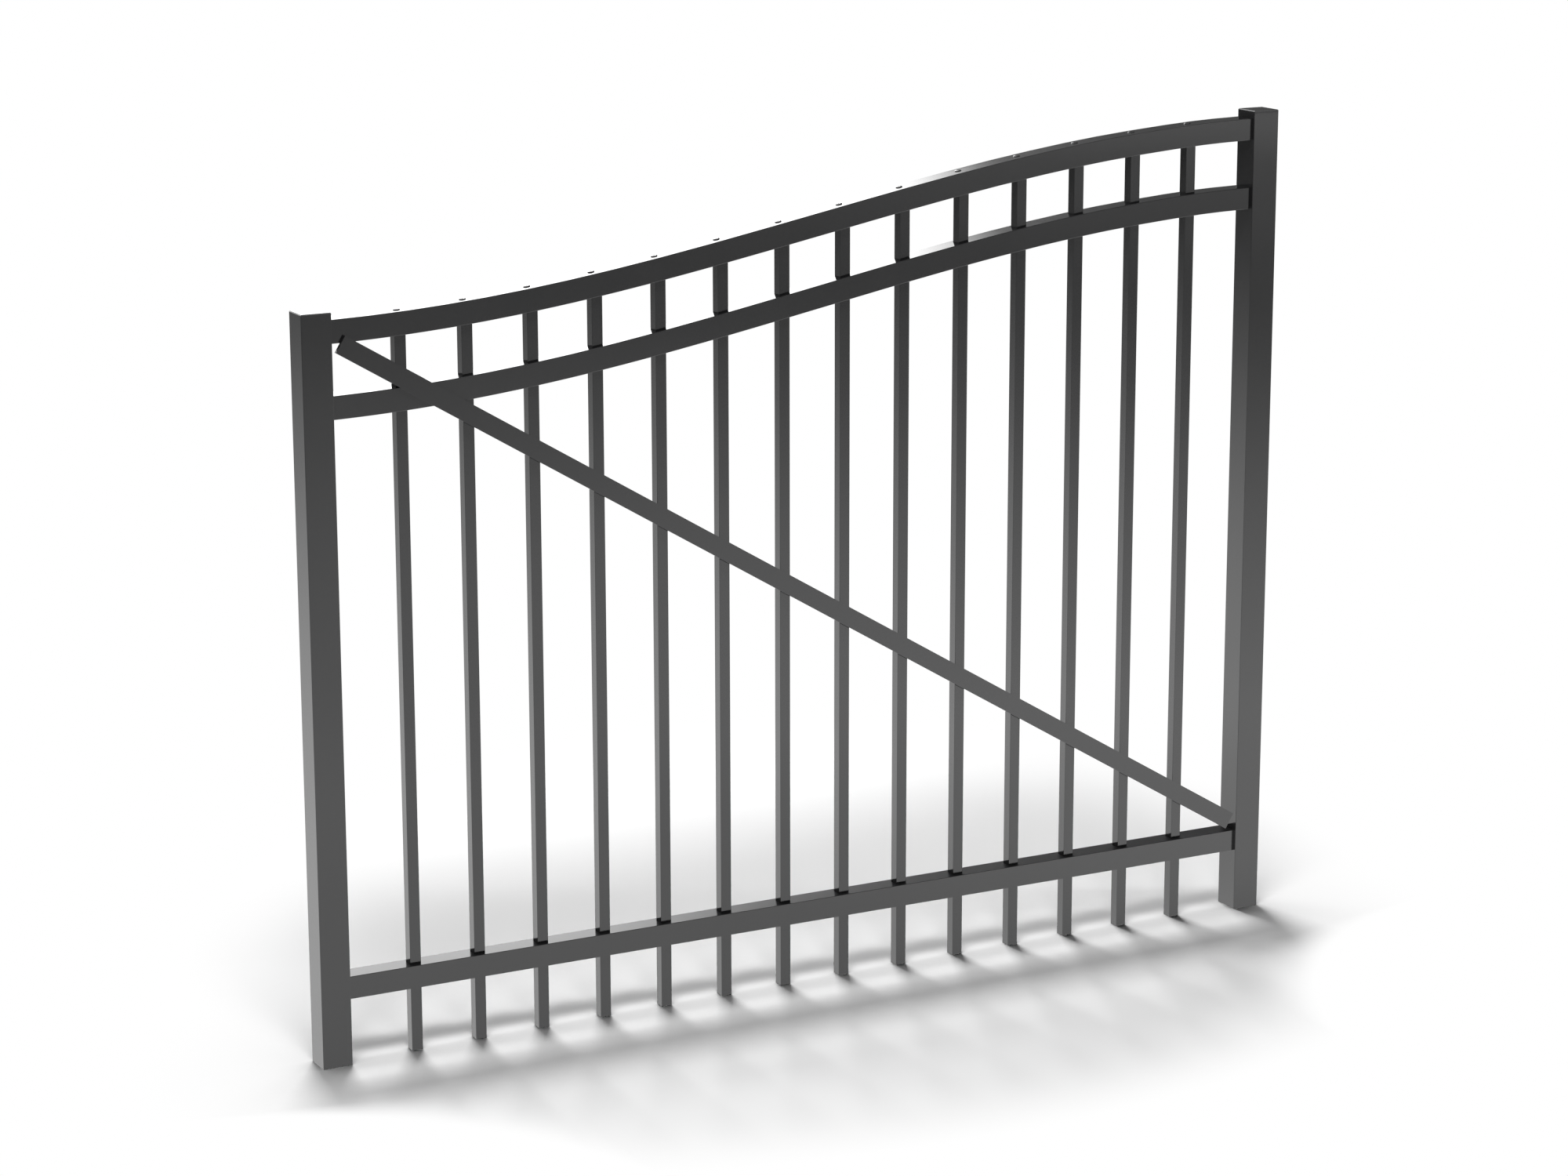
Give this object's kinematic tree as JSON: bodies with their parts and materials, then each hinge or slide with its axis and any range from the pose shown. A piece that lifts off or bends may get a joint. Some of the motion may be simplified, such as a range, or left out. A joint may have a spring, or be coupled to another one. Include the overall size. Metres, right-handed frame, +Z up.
{
  "type": "driveway gate leaf",
  "caption": "Swing leaf of an ornamental driveway gate in black coated aluminium: square uprights, S-curved top rails, straight pickets and a diagonal brace.",
  "frame": {"origin": "on the hinge-side upright's outer face, in the leaf's mid-plane, at the height of the bottom rail's centre line, 130 mm above the feet", "axes": "+X across the leaf from the hinge side to the latch side, +Z up, -Y the front, which carries the diagonal brace"},
  "size_m": [1.8288, 0.0508, 1.46],
  "materials": {
    "upright_paint": "gloss black powder coat",
    "cap_paint": "gloss black powder coat",
    "rail_paint": "gloss black powder coat",
    "picket_paint": "gloss black powder coat",
    "brace_paint": "gloss black powder coat",
    "spacer_paint": "gloss black powder coat"
  },
  "bodies": {
    "root": {"upright_hinge": "upright_paint", "upright_latch": "upright_paint", "cap_hinge": "cap_paint", "cap_latch": "cap_paint", "rail_top": "rail_paint", "rail_middle": "rail_paint", "rail_bottom": "rail_paint", "brace": "brace_paint", "picket_01": "picket_paint", "picket_02": "picket_paint", "picket_03": "picket_paint", "picket_04": "picket_paint", "picket_05": "picket_paint", "picket_06": "picket_paint", "picket_07": "picket_paint", "picket_08": "picket_paint", "picket_09": "picket_paint", "picket_10": "picket_paint", "picket_11": "picket_paint", "picket_12": "picket_paint", "picket_13": "picket_paint", "picket_14": "picket_paint", "brace_spacer_03": "spacer_paint", "brace_spacer_04": "spacer_paint", "brace_spacer_05": "spacer_paint", "brace_spacer_06": "spacer_paint", "brace_spacer_07": "spacer_paint", "brace_spacer_08": "spacer_paint", "brace_spacer_09": "spacer_paint", "brace_spacer_10": "spacer_paint", "brace_spacer_11": "spacer_paint", "brace_spacer_12": "spacer_paint", "brace_spacer_13": "spacer_paint", "brace_spacer_14": "spacer_paint"}
  },
  "joints": []
}
